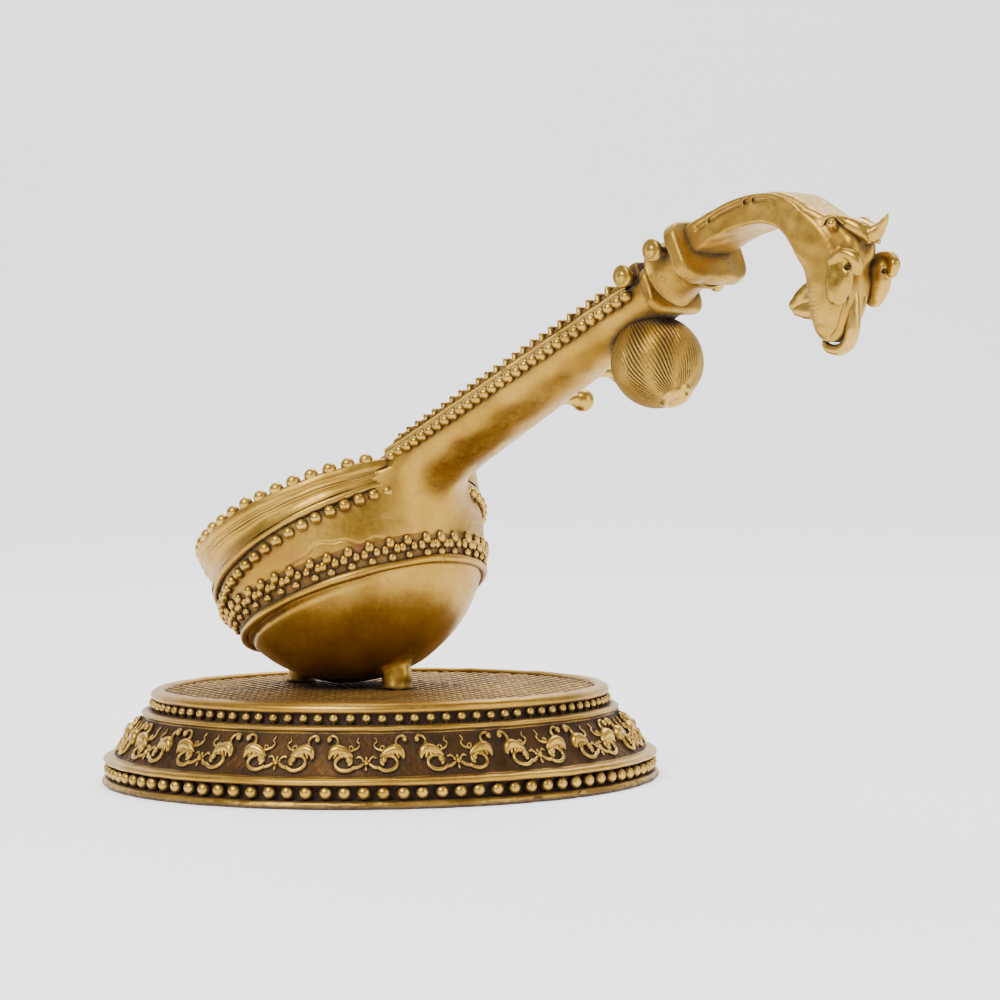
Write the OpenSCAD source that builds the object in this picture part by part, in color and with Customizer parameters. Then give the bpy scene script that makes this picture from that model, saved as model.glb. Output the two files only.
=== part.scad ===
// Cast-brass ornament: a small long-necked lute with a round bowl, a beast-headed
// pegbox and a gourd under the neck, standing on two feet on a round stepped plinth.
// Row frame: origin on the floor plane at the plinth's centre, +Z up, neck towards +X.

/* [Plinth] */
// Widest radius of the plinth
plinth_r = 45; // [44:0.5:46]
// Height of the plinth's top rim
plinth_h = 15.1; // [14.9:0.1:15.4]
// Radius of the woven top panel
panel_r = 34.6; // [33:0.1:34.6]
// Height of the woven top panel's face
panel_top = 14.5; // [14.3:0.1:14.7]
// Number of beads in each ring of the plinth
plinth_beads = 95; // [60:5:95]
// Diameter of an upper-ring bead
upper_bead_d = 1.5; // [1:0.1:1.6]
// Diameter of a lower-ring ball
lower_bead_d = 2.1; // [1.6:0.1:2.2]
// Number of repeats of the frieze ornament
frieze_repeats = 19; // [11:2:19]

/* [Bowl] */
// Outer radius of the bowl
bowl_r = 22.6; // [22:0.1:23]
// Wall thickness of the bowl
bowl_wall = 2; // [1.5:0.1:3]
// Bowl centre ahead of the plinth axis
bowl_x = -7.9; // [-9:0.1:-6]
// Bowl centre above the floor
bowl_z = 37.6; // [37.4:0.1:38]
// Soundboard height above the bowl centre, along its normal
board_lift = 5.2; // [4:0.1:6]
// Soundboard thickness
board_t = 1.2; // [1:0.1:1.6]
// Outer radius of the rim band
rim_r = 23.9; // [23.4:0.1:24]
// Number of places for dome beads round the rim
rim_places = 48; // [36:4:48]
// Bead places round the side of the bowl, neck gap included
side_places = 58; // [48:2:60]

/* [Neck] */
// Angle of the neck above the floor
tilt = 25; // [20:1:30]
// Distance of the neck's end from the bowl centre
neck_end = 80.6; // [78:0.1:81]
// Half width of the neck at the bowl
neck_half_a = 6.8; // [6.4:0.1:7.2]
// Half width of the neck at the collar
neck_half_b = 4.9; // [4.6:0.1:5.2]
// Depth of the neck at the bowl
neck_deep_a = 7.8; // [7.4:0.1:8.4]
// Depth of the neck at the collar
neck_deep_b = 5.4; // [5:0.1:6]
// Number of frets
fret_count = 24; // [20:1:24]
// Beads along each side of the neck
neck_beads = 30; // [24:1:30]

/* [Pegs] */
// Radius of a peg's shank
peg_r = 0.75; // [0.6:0.05:0.8]
// Radial clearance between a shank and its bore
peg_gap = 0.05; // [0.02:0.01:0.1]

/* [Gourd] */
// Radius of the gourd
gourd_r = 6.9; // [6.4:0.1:7]

/* [Hidden] */
$fn = 48;
gold = "#b8862f";
dark_gold = "#6e4c17";
bright_gold = "#d9ad54";

// Plinth heights and radii that several pieces share
deck_z = 13.2;
deck_under = 11.0;
upper_channel_r = 36.1;
upper_channel_z = 12.65;
lower_channel_r = 43.0;
lower_channel_z = 2.4;
frieze_top = [38.0, 10.8];
frieze_low = [43.0, 4.6];
frieze_lean = atan((frieze_low[0] - frieze_top[0]) / (frieze_top[1] - frieze_low[1]));
frieze_mid_r = (frieze_top[0] + frieze_low[0]) / 2;
frieze_mid_z = (frieze_top[1] + frieze_low[1]) / 2;

// Feet and their screws
foot_out = 11.8;
foot_r = 2.3;
screw_r = 0.9;
screw_hole = 0.1;
screw_top = 16.5;
head_t = 1.2;
washer_t = 0.4;

// Soundboard plane and the neck's section
seat = 0.25;
board_r = sqrt(pow(bowl_r, 2) - pow(board_lift - board_t, 2)) - 0.05;
neck_start = 23.2;
root_from = 35;
root_to = 14;
root_steps = 6;
root_widen = 3.4;
root_deepen = 11;
neck_top = 0.9;
neck_side = 1.8;
finger_t = 1.0;
rail_t = 0.8;
fret_t = 1.5;
nut_from = 77.4;
gourd_at = [74.6, -9.3];
gourd_lean = 12;

// Collar stations along the neck
lower_flange = [80.6, 82.4];
waist_end = 88.6;
upper_flange_end = 91.0;
collar_rise = 1.0;

// Pegs: distance along the neck and height over the soundboard plane
near_lower = [79.2, 2.2];
near_upper = [86.2, 2.7];
far_upper = [84.4, -1.4];
far_mid = [57.2, -2.2];
far_low = [48.0, -2.4];

// Arch and head stations ahead of and above the collar's end: x, z, radius, half width
arch_path = [[-0.8, 0.6, 2.1, 4.3], [4.0, 2.7, 2.1, 4.3], [8.8, 4.1, 2.1, 4.3],
             [13.4, 4.5, 2.1, 4.3], [17.4, 3.5, 2.2, 4.4], [20.0, 1.6, 2.2, 4.5]];
head_path = [[22.1, 0.6, 3.0, 4.4], [24.2, -4.0, 4.0, 4.4], [24.2, -8.0, 3.9, 3.9],
             [24.2, -11.6, 2.9, 3.2]];
brow = [23.8, 0.2, 2.6, 3.6];

function lerp(a, b, k) = a + (b - a) * k;
function half_at(s) = lerp(neck_half_a, neck_half_b, (s - neck_start) / (neck_end - neck_start));
function deep_at(s) = lerp(neck_deep_a, neck_deep_b, (s - neck_start) / (neck_end - neck_start));

// Places its children in the instrument's frame: x along the neck, z off the soundboard
module on_instrument() {
  translate([bowl_x, 0, bowl_z]) rotate([0, -tilt, 0]) translate([0, 0, board_lift]) children();
}

// Places its children about the bowl's centre, tipped further than the soundboard
module on_bowl(extra) {
  translate([bowl_x, 0, bowl_z]) rotate([0, -tilt - extra, 0]) children();
}

// A circle of latitude on the bowl, as a round cord
module bowl_cord(extra, lift, cord_r) {
  on_bowl(extra) translate([0, 0, lift])
    rotate_extrude($fn = 96) translate([sqrt(pow(bowl_r, 2) - pow(lift, 2)), 0]) circle(r = cord_r, $fn = 24);
}

// Space taken by the neck and its root where it meets the bowl
module neck_gap(half, top) {
  on_instrument() translate([14, -half, -16]) cube([31, 2 * half, 16 + top]);
}

// Flat plate with round corners, extruded along the neck
module round_plate(half_w, low, high, corner, from, to) {
  translate([from, 0, 0]) rotate([90, 0, 90]) linear_extrude(to - from) union() {
    translate([-half_w + corner, low]) square([2 * (half_w - corner), high - low]);
    translate([-half_w, low + corner]) square([2 * half_w, high - low - 2 * corner]);
    for (u = [-1, 1], v = [low + corner, high - corner])
      translate([u * (half_w - corner), v]) circle(r = corner);
  }
}

// ---- Plinth ----
module plinth_shell() {
  color(gold) difference() {
    rotate_extrude($fn = 128) union() {
      polygon([[0, deck_under], [33, deck_under], [36.4, 7.9], [40.2, 2.9], [40.6, 0], [44.6, 0],
               [plinth_r, 0.4], [plinth_r, 0.9], [44.3, 1.3], [lower_channel_r, 1.35],
               [lower_channel_r, 3.45], [44.3, 3.5], [44.7, 4.0], [44.1, 4.6], frieze_low, frieze_top,
               [38.5, 11.0], [38.4, 11.5], [37.6, 11.8], [upper_channel_r, 11.85],
               [upper_channel_r, 13.45], [36.7, 13.5], [36.9, 14.2], [36.3, plinth_h],
               [35.1, plinth_h], [34.7, 14.7], [34.7, deck_z], [0, deck_z]]);
    }
    for (a = [0, 180]) translate([bowl_x, 0, 0]) rotate([0, 0, a])
      translate([foot_out, 0, deck_under - 1]) cylinder(r = screw_r + screw_hole, h = 4);
  }
}

module woven_panel() {
  color(dark_gold) difference() {
    translate([0, 0, deck_z]) cylinder(r = panel_r, h = panel_top - deck_z, $fn = 128);
    for (a = [0, 180]) translate([bowl_x, 0, 0]) rotate([0, 0, a])
      translate([foot_out, 0, deck_z - 1]) cylinder(r = screw_r + screw_hole, h = 4);
  }
}

module upper_bead_ring() {
  color(bright_gold) for (i = [0 : plinth_beads - 1]) rotate([0, 0, i * 360 / plinth_beads])
    translate([upper_channel_r + upper_bead_d / 2 - seat, 0, upper_channel_z])
      sphere(d = upper_bead_d, $fn = 16);
}

module lower_bead_ring() {
  color(bright_gold) for (i = [0 : plinth_beads - 1]) rotate([0, 0, i * 360 / plinth_beads])
    translate([lower_channel_r + lower_bead_d / 2 - seat, 0, lower_channel_z])
      sphere(d = lower_bead_d, $fn = 16);
}

// Places its children on the frieze: x outwards, y along, z up the slope
module on_frieze(turn) {
  rotate([0, 0, turn]) translate([frieze_mid_r, 0, frieze_mid_z]) rotate([0, -frieze_lean, 0]) children();
}

module bird(side) {
  translate([0, side * 3.3, 0.6]) {
    hull() {
      translate([0.25, 0, 0.2]) sphere(r = 0.75, $fn = 10);
      translate([0.1, side * 1.9, -0.5]) sphere(r = 0.4, $fn = 8);
    }
    hull() {
      translate([0.35, side * 1.2, 0.3]) sphere(r = 0.45, $fn = 8);
      translate([0.3, side * 1.7, 2.2]) sphere(r = 0.4, $fn = 8);
    }
  }
}

module frieze_birds() {
  color(gold) for (i = [0 : frieze_repeats - 1]) on_frieze(i * 360 / frieze_repeats)
    for (side = [-1, 1]) bird(side);
}

module frieze_scrolls() {
  color(gold) for (i = [0 : frieze_repeats - 1]) on_frieze(i * 360 / frieze_repeats)
    for (side = [-1, 1]) translate([0.1, side * 2.3, -1.7]) rotate([0, 90, 0])
      rotate([0, 0, side * 90]) rotate_extrude(angle = side * 250, $fn = 24)
        translate([1.1, 0]) circle(r = 0.3, $fn = 16);
}

module frieze_flowers() {
  color(bright_gold) for (i = [0 : frieze_repeats - 1]) on_frieze(i * 360 / frieze_repeats)
    translate([0.15, 0, -1.7]) {
      sphere(r = 0.45, $fn = 16);
      for (p = [0 : 5]) rotate([p * 60, 0, 0]) translate([-0.1, 0, 0.72]) sphere(r = 0.3, $fn = 16);
    }
}

// ---- Feet and fixings ----
module at_feet() {
  for (a = [0, 180]) translate([bowl_x, 0, 0]) rotate([0, 0, a]) translate([foot_out, 0, 0]) children();
}

module bowl_feet() {
  color(gold) difference() {
    at_feet() translate([0, 0, panel_top]) cylinder(r1 = foot_r, r2 = foot_r + 0.4, h = 4.4);
    translate([bowl_x, 0, bowl_z]) sphere(r = bowl_r);
    at_feet() translate([0, 0, panel_top - 1]) cylinder(r = screw_r, h = screw_top - panel_top + 1);
  }
}

module foot_screws() {
  color("dimgray") at_feet() union() {
    translate([0, 0, deck_under - washer_t]) cylinder(r = screw_r, h = screw_top - deck_under + washer_t);
    difference() {
      translate([0, 0, deck_under - washer_t - head_t]) cylinder(r = 1.8, h = head_t);
      translate([-2, -0.25, deck_under - washer_t - head_t - 1]) cube([4, 0.5, 1.5]);
    }
  }
}

module screw_washers() {
  color("darkgray") at_feet() translate([0, 0, deck_under - washer_t]) difference() {
    cylinder(r = 2.4, h = washer_t);
    translate([0, 0, -1]) cylinder(r = screw_r + screw_hole, h = 3);
  }
}

// ---- Bowl and its trim ----
module bowl_shell() {
  color(gold) difference() {
    translate([bowl_x, 0, bowl_z]) sphere(r = bowl_r, $fn = 96);
    translate([bowl_x, 0, bowl_z]) sphere(r = bowl_r - bowl_wall, $fn = 96);
    on_instrument() translate([-50, -50, -board_t]) cube(100);
  }
}

module soundboard() {
  color(gold) on_instrument() translate([0, 0, -board_t]) cylinder(r = board_r, h = board_t, $fn = 96);
}

module rim_band() {
  color(gold) difference() {
    on_instrument() translate([0, 0, -2.4]) union() {
      cylinder(r = rim_r - 0.4, h = 1.4, $fn = 96);
      translate([0, 0, 1.4]) cylinder(r = rim_r, h = 1.2, $fn = 96);
    }
    translate([bowl_x, 0, bowl_z]) sphere(r = bowl_r, $fn = 96);
    on_instrument() translate([0, 0, -3]) cylinder(r = board_r, h = 6, $fn = 96);
    neck_gap(7.6, 1);
  }
}

module rim_beads() {
  color(bright_gold) on_instrument() for (i = [0 : rim_places - 1])
    if (abs(((i + 0.5) * 360 / rim_places + 180) % 360 - 180) > 20)
      rotate([0, 0, (i + 0.5) * 360 / rim_places]) translate([rim_r - 0.9, 0, 0.4]) sphere(r = 1.2, $fn = 20);
}

module tail_band() {
  color(gold) difference() {
    translate([bowl_x, 0, bowl_z]) sphere(r = rim_r - 0.3, $fn = 96);
    translate([bowl_x, 0, bowl_z]) sphere(r = bowl_r, $fn = 96);
    on_instrument() translate([-50, -50, -2.4]) cube(100);
    on_bowl(5.5) translate([-50, -50, -100.8]) cube(100);
    neck_gap(9, 1);
  }
}

module upper_piping() {
  color(gold) difference() {
    bowl_cord(5.5, -1.0, 0.8);
    translate([bowl_x, 0, bowl_z]) sphere(r = bowl_r, $fn = 96);
    neck_gap(9, 1);
  }
}

module side_beads() {
  color(bright_gold) on_bowl(8) for (i = [0 : side_places - 1])
    if (abs(((i + 0.5) * 360 / side_places + 180) % 360 - 180) > 20)
      rotate([0, 0, (i + 0.5) * 360 / side_places]) rotate([0, 8, 0]) translate([bowl_r + 0.5, 0, 0])
        sphere(r = 1.0, $fn = 20);
}

module flower_band() {
  color(bright_gold) on_bowl(-3.5) for (i = [0 : 35]) rotate([0, 0, i * 10]) {
    rotate([0, 17, 0]) translate([bowl_r + 0.2, 0, 0]) sphere(r = 0.85, $fn = 16);
    rotate([0, 24, 0]) translate([bowl_r + 0.1, 0, 0]) sphere(r = 0.7, $fn = 16);
    for (u = [-1, 1]) rotate([0, 0, u * 2.7]) rotate([0, 20.5, 0])
      translate([bowl_r + 0.1, 0, 0]) sphere(r = 0.6, $fn = 16);
  }
}

module lower_piping() {
  color(gold) difference() {
    bowl_cord(-2, -10.6, 0.9);
    translate([bowl_x, 0, bowl_z]) sphere(r = bowl_r, $fn = 96);
  }
}

module bridge() {
  color(gold) on_instrument() translate([-4, 0, 0]) union() {
    translate([-1, -6, 1.6]) cube([2, 12, 1.6]);
    for (u = [-1, 1]) translate([-1, u * 4.4 - 1.4, 0]) cube([2, 2.8, 2]);
  }
}

module sound_rosettes() {
  color(dark_gold) on_instrument() for (u = [-1, 1]) translate([7, u * 10, 0]) difference() {
    cylinder(r = 3.4, h = 0.5);
    for (p = [0 : 5]) rotate([0, 0, p * 60]) translate([1.9, 0, -1]) cylinder(r = 0.55, h = 3);
  }
}

// ---- Neck ----
module neck_section(s, half, deep) {
  round_part = deep - neck_side;
  translate([s, 0, 0]) rotate([90, 0, 90]) linear_extrude(0.1)
    polygon(concat([[half, neck_top]],
                   [for (a = [0 : 15 : 180]) [half * cos(a), neck_top - neck_side - round_part * sin(a)]],
                   [[-half, neck_top]]));
}

module neck_bar() {
  on_instrument() hull() for (s = [neck_start, neck_end - 0.1]) neck_section(s, half_at(s), deep_at(s));
}

module neck() {
  color(gold) difference() {
    neck_bar();
    peg_bore(far_mid, 1, 12);
    peg_bore(far_low, 1, 12);
  }
}

// Flared root: the neck's section swells as it runs back onto the bowl
module root_section(k) {
  s = lerp(root_from, root_to, k);
  neck_section(s, half_at(root_from) - 0.4 + root_widen * k * k, deep_at(root_from) - 0.4 + root_deepen * k * k);
}

module neck_root() {
  color(gold) difference() {
    on_instrument() for (i = [0 : root_steps - 1]) hull() {
      root_section(i / root_steps);
      root_section((i + 1) / root_steps);
    }
    neck_bar();
    translate([bowl_x, 0, bowl_z]) sphere(r = bowl_r, $fn = 96);
    on_instrument() translate([0, -20, -1.3]) cube([60, 40, 4]);
  }
}

module fingerboard() {
  color(gold) on_instrument() translate([0, 0, neck_top]) linear_extrude(finger_t)
    polygon([[neck_start, -half_at(neck_start) + 0.4], [nut_from, -half_at(nut_from) + 0.4],
             [nut_from, half_at(nut_from) - 0.4], [neck_start, half_at(neck_start) - 0.4]]);
}

module fret_rails() {
  color(dark_gold) on_instrument() translate([0, 0, neck_top + finger_t]) linear_extrude(rail_t)
    for (u = [-1, 1]) polygon([[24, u * (half_at(24) - 0.8)], [nut_from, u * (half_at(nut_from) - 0.8)],
                               [nut_from, u * (half_at(nut_from) - 2)], [24, u * (half_at(24) - 2)]]);
}

module frets() {
  step = (nut_from - 27) / fret_count;
  color(gold) on_instrument() for (i = [0 : fret_count - 1]) {
    s = 26 + i * step;
    w = half_at(s) - 2.05;
    translate([s, -w, neck_top + finger_t]) cube([0.7, 2 * w, fret_t]);
  }
}

module neck_bead_rows() {
  color(bright_gold) on_instrument() for (i = [0 : neck_beads - 1], u = [-1, 1]) {
    s = lerp(23.4, 77.6, i / (neck_beads - 1));
    translate([s, u * (half_at(s) + 0.6), -0.3]) sphere(r = 0.9, $fn = 16);
  }
}

module nut() {
  color(dark_gold) difference() {
    on_instrument() translate([nut_from, -4.3, neck_top]) cube([neck_end - nut_from, 8.6, 3.4]);
    peg_bore(near_lower, -12, -0.5);
  }
}

// ---- Collar ----
module peg_bore(at, from, to) {
  on_instrument() translate([at[0], from, at[1]]) rotate([-90, 0, 0])
    cylinder(r = peg_r + peg_gap, h = to - from);
}

module lower_plate() {
  round_plate(5.5, -4.8, 2.4, 2.2, lower_flange[0], lower_flange[1]);
}

module collar_lower() {
  color(gold) on_instrument() lower_plate();
}

module collar_waist() {
  color(gold) difference() {
    on_instrument() translate([lower_flange[1], 0, collar_rise]) rotate([0, 90, 0])
      cylinder(r = 4.5, h = waist_end - lower_flange[1]);
    peg_bore(near_upper, -12, -0.5);
    peg_bore(far_upper, 0.5, 12);
  }
}

module collar_upper() {
  color(gold) on_instrument() round_plate(7.0, -4.0, 5.2, 3.0, waist_end, upper_flange_end);
}

// ---- Pegbox and head ----
// Upright frame at the collar's end, for the arch and the head
module on_head() {
  on_instrument() translate([upper_flange_end, 0, collar_rise]) rotate([0, tilt, 0]) children();
}

module slab(at) {
  translate([at[0], 0, at[1]]) rotate([90, 0, 0]) cylinder(r = at[2], h = 2 * at[3], center = true, $fn = 28);
}

module ball(x, y, z, r) {
  translate([x, y, z]) sphere(r = r, $fn = 16);
}

module chain(path, from, to) {
  for (i = [from : to - 1]) hull() {
    slab(path[i]);
    slab(path[i + 1]);
  }
}

module collar_side() {
  on_instrument() translate([60, -20, -20]) cube([upper_flange_end - 60, 40, 40]);
}

module groove(side, a, b) {
  hull() for (p = [a, b]) translate([p[0], side * 4.3, p[1]]) rotate([90, 0, 0])
    cylinder(r = 0.3, h = 0.8, center = true, $fn = 8);
}

module pegbox_arch() {
  color(gold) difference() {
    on_head() chain(arch_path, 0, 5);
    collar_side();
    on_head() for (side = [-1, 1]) {
      groove(side, [1.6, 2.4], [7.0, 4.3]);
      groove(side, [7.0, 4.3], [12.4, 5.2]);
      groove(side, [12.4, 5.2], [16.4, 4.4]);
    }
  }
}

module pegbox_cap() {
  color(bright_gold) on_head() difference() {
    for (i = [3 : 4]) hull() for (k = [i, i + 1])
      translate([arch_path[k][0] + 0.2, 0, arch_path[k][1] + 0.5]) rotate([90, 0, 0])
        cylinder(r = arch_path[k][2], h = 8, center = true, $fn = 28);
    chain(arch_path, 0, 5);
    chain(head_path, 0, 3);
    brow_block();
  }
}

module brow_block() {
  hull() {
    slab(head_path[0]);
    slab(brow);
  }
}

module head_form() {
  chain(head_path, 0, 3);
  brow_block();
}

module beast_head() {
  color(gold) on_head() difference() {
    head_form();
    chain(arch_path, 0, 5);
  }
}

module head_crest() {
  color(gold) on_head() difference() {
    union() {
      hull() {
        ball(24.2, 0, 2.0, 2.0);
        ball(29.2, 0, -0.6, 1.5);
      }
      hull() {
        ball(29.2, 0, -0.2, 1.3);
        ball(32.2, 0, 2.2, 0.5);
      }
    }
    head_form();
    chain(arch_path, 0, 5);
    chain([for (k = [3 : 5]) arch_path[k] + [0.2, 0.5, 0, -0.4]], 0, 2);
  }
}

module head_ears() {
  color(bright_gold) on_head() difference() {
    for (side = [-1, 1]) {
      hull() {
        ball(27.6, side * 4.1, -4.8, 1.6);
        ball(26.6, side * 4.1, -8.0, 1.6);
      }
      hull() {
        ball(28.0, side * 4.1, -3.8, 1.4);
        ball(29.7, side * 3.7, -4.4, 1.2);
      }
    }
    chain(head_path, 0, 3);
  }
}

module head_eyes() {
  color(bright_gold) on_head() difference() {
    for (side = [-1, 1]) translate([25.4, side * 3.9, 0.9]) sphere(r = 0.9, $fn = 20);
    head_form();
  }
}

module head_trunk() {
  color(gold) on_head() difference() {
    union() {
      hull() {
        ball(27.0, 0, -7.8, 1.3);
        ball(27.5, 0, -13.0, 1.3);
      }
      hull() {
        ball(27.5, 0, -13.0, 1.3);
        ball(25.2, 0, -15.2, 1.1);
      }
      trunk_tip();
    }
    chain(head_path, 0, 3);
  }
}

module trunk_tip() {
  hull() {
    ball(25.2, 0, -15.2, 1.1);
    ball(22.4, 0, -15.2, 0.8);
  }
}

module trunk_ball() {
  color(bright_gold) on_head() difference() {
    translate([21.4, 0, -14.5]) sphere(r = 0.7, $fn = 20);
    chain(head_path, 2, 3);
    trunk_tip();
  }
}

module throat_leaf() {
  color(gold) on_head() difference() {
    hull() {
      ball(19.6, 0, -6.4, 0.5);
      ball(15.6, 0, -9.2, 0.8);
      ball(20.2, 0, -10.4, 0.8);
    }
    chain(head_path, 0, 3);
  }
}

// ---- Gourd ----
module on_gourd() {
  on_instrument() translate([gourd_at[0], 0, gourd_at[1]]) rotate([0, 180 - gourd_lean, 0]) children();
}

module gourd() {
  color(gold) difference() {
    on_gourd() difference() {
      sphere(r = gourd_r, $fn = 64);
      translate([0, 0, gourd_r - 0.45]) cylinder(r = 4, h = 2);
    }
    neck_bar();
    on_instrument() lower_plate();
  }
}

module gourd_end_ring() {
  color(bright_gold) on_gourd() translate([0, 0, gourd_r - 0.45]) difference() {
    cylinder(r = 2.4, h = 0.9);
    translate([0, 0, 0.35]) cylinder(r = 1.5, h = 2);
  }
}

// ---- Pegs ----
// Shank runs along y from inside the wall to its head; side is -1 for the near side
module disc_peg(at, side, inner, face) {
  color(gold) on_instrument() translate([at[0], 0, at[1]]) rotate([-90 * side, 0, 0]) union() {
    translate([0, 0, inner]) cylinder(r = peg_r, h = face - 0.6 - inner);
    translate([0, 0, face - 1.1]) cylinder(r = 1.7, h = 1.1);
    translate([0, 0, face]) cylinder(r = 0.6, h = 0.3);
  }
}

module ball_peg(at, side, inner, centre, ball_r) {
  color(gold) on_instrument() translate([at[0], 0, at[1]]) rotate([-90 * side, 0, 0]) union() {
    translate([0, 0, inner]) cylinder(r = peg_r, h = centre - inner);
    translate([0, 0, centre - ball_r - 1.2]) cylinder(r1 = peg_r + 0.1, r2 = ball_r * 0.7, h = 1.8);
    translate([0, 0, centre]) sphere(r = ball_r, $fn = 32);
  }
}

module peg_near_upper() { disc_peg(near_upper, -1, 1.2, 7.4); }
module peg_near_lower() { disc_peg(near_lower, -1, 1.2, 7.1); }
module peg_far_upper() { ball_peg(far_upper, 1, 1.2, 7.0, 1.1); }
module peg_far_mid() { ball_peg(far_mid, 1, 1.6, 12.2, 1.8); }
module peg_far_low() { ball_peg(far_low, 1, 1.6, 12.2, 1.8); }

plinth_shell();
woven_panel();
upper_bead_ring();
lower_bead_ring();
frieze_birds();
frieze_scrolls();
frieze_flowers();
bowl_feet();
foot_screws();
screw_washers();
bowl_shell();
soundboard();
rim_band();
rim_beads();
tail_band();
upper_piping();
side_beads();
flower_band();
lower_piping();
bridge();
sound_rosettes();
neck();
neck_root();
fingerboard();
fret_rails();
frets();
neck_bead_rows();
nut();
collar_lower();
collar_waist();
collar_upper();
pegbox_arch();
pegbox_cap();
beast_head();
head_crest();
head_ears();
head_eyes();
head_trunk();
trunk_ball();
throat_leaf();
gourd();
gourd_end_ring();
peg_near_upper();
peg_near_lower();
peg_far_upper();
peg_far_mid();
peg_far_low();
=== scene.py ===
import math

import bpy
import numpy as np
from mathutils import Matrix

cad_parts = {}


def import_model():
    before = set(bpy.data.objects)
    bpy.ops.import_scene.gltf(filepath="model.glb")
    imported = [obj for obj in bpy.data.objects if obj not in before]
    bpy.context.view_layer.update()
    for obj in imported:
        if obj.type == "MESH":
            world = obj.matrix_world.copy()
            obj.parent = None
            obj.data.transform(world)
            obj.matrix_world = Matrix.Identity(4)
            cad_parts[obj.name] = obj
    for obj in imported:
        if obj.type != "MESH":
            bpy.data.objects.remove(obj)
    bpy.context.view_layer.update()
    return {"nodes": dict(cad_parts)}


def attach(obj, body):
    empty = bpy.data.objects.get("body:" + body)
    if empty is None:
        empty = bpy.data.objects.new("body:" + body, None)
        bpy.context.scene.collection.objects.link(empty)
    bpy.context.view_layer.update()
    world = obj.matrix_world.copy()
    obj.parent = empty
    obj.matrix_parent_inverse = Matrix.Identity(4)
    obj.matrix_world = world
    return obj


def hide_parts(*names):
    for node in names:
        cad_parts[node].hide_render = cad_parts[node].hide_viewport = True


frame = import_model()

import openvdb
from mathutils import Matrix, Vector

MM = 0.001
ROOT = "root"

# Driving sizes of the ornament, in millimetres and degrees, as in the CAD source
PLINTH_R = 45.0
BOWL_R = 22.6
BOWL_AT = np.array([-7.9, 0.0, 37.6])
BOARD_LIFT = 5.2
BOARD_R = 22.2
TILT = math.radians(25)
NECK_START, NECK_END, NUT_FROM = 23.2, 80.6, 77.4
NECK_TOP, NECK_SIDE = 0.9, 1.8
PLINTH_BEADS = 95
FRIEZE_REPEATS = 19
FRIEZE_TOP, FRIEZE_LOW = (38.0, 10.8), (43.0, 4.6)
PANEL_R, PANEL_TOP = 34.6, 14.5
FOOT_OUT = 11.8
COLLAR_RISE = 1.0
FLANGE_A = (80.6, 82.4)
FLANGE_B = (88.6, 91.0)
GOURD_AT, GOURD_R, GOURD_LEAN = (74.6, -9.3), 6.9, math.radians(12)
PEGS = {
    "peg_near_lower": (79.2, 2.2),
    "peg_near_upper": (86.2, 2.7),
    "peg_far_upper": (84.4, -1.4),
    "peg_far_mid": (57.2, -2.2),
    "peg_far_low": (48.0, -2.4),
}
# Direction from the object to the camera, used for the camera, the lights, the backdrop and the run of the woven panel
VIEW_TURN = math.radians(48)

rng = np.random.default_rng(7)


# ---------------------------------------------------------------- frames
def tipped(points, extra=0.0, origin=BOWL_AT):
    """Points in a frame whose x runs along the neck and z off the soundboard, moved to the row frame."""
    a = TILT + extra
    p = np.asarray(points, float)
    x = p[..., 0] * math.cos(a) - p[..., 2] * math.sin(a)
    z = p[..., 0] * math.sin(a) + p[..., 2] * math.cos(a)
    return np.stack([x, p[..., 1], z], -1) + origin


def on_instrument(points):
    return tipped(np.asarray(points, float) + [0, 0, BOARD_LIFT])


HEAD_ORIGIN = on_instrument([FLANGE_B[1], 0, COLLAR_RISE])


def on_head(points):
    return np.asarray(points, float) + HEAD_ORIGIN


def on_gourd(points):
    """z runs out through the gourd's end ring."""
    p = np.asarray(points, float)
    a = math.pi - GOURD_LEAN
    x = p[..., 0] * math.cos(a) + p[..., 2] * math.sin(a)
    z = -p[..., 0] * math.sin(a) + p[..., 2] * math.cos(a)
    return on_instrument(np.stack([x + GOURD_AT[0], p[..., 1], z + GOURD_AT[1]], -1))


def neck_share(s):
    return (s - NECK_START) / (NECK_END - NECK_START)


def neck_half(s):
    return 6.8 + (4.9 - 6.8) * neck_share(s)


def neck_deep(s):
    return 7.8 + (5.4 - 7.8) * neck_share(s)


# ---------------------------------------------------------------- smooth noise
WAVES = rng.normal(0, 1, (24, 3))
PHASES = rng.uniform(0, 2 * math.pi, 24)


def noise(p, scale):
    """Smooth noise in -1..1 over points in millimetres, with features about scale wide."""
    k = WAVES / np.linalg.norm(WAVES, axis=1)[:, None] * (2 * math.pi / scale) * np.linspace(0.6, 1.4, 24)[:, None]
    return np.sin(np.asarray(p) @ k.T + PHASES).sum(-1) / 5


def wobble(points, amount, scale):
    """Moves points a little, so that a cast surface isn't perfectly true."""
    p = np.asarray(points, float)
    shift = np.stack([noise(p + o, scale) for o in (0, 37.0, 71.0)], -1)
    return p + shift * amount


# ---------------------------------------------------------------- meshes
def build(name, verts, faces, material, nodes, slot, body=ROOT, angle=40):
    """A shown piece from points in millimetres, which stands for some CAD nodes."""
    mesh = bpy.data.meshes.new(name)
    mesh.from_pydata((np.asarray(verts) * MM).tolist(), [], [list(map(int, f)) for f in faces])
    mesh.validate()
    mesh.shade_smooth()
    if angle:
        mesh.set_sharp_from_angle(angle=math.radians(angle))
    mesh.materials.append(material)
    piece = bpy.data.objects.new(name, mesh)
    bpy.context.scene.collection.objects.link(piece)
    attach(piece, body)
    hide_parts(*nodes)
    return piece


def paint(piece, material, mask):
    """Gives the faces in the mask a second material."""
    piece.data.materials.append(material)
    piece.data.polygons.foreach_set("material_index", np.asarray(mask, dtype=np.int32))


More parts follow.
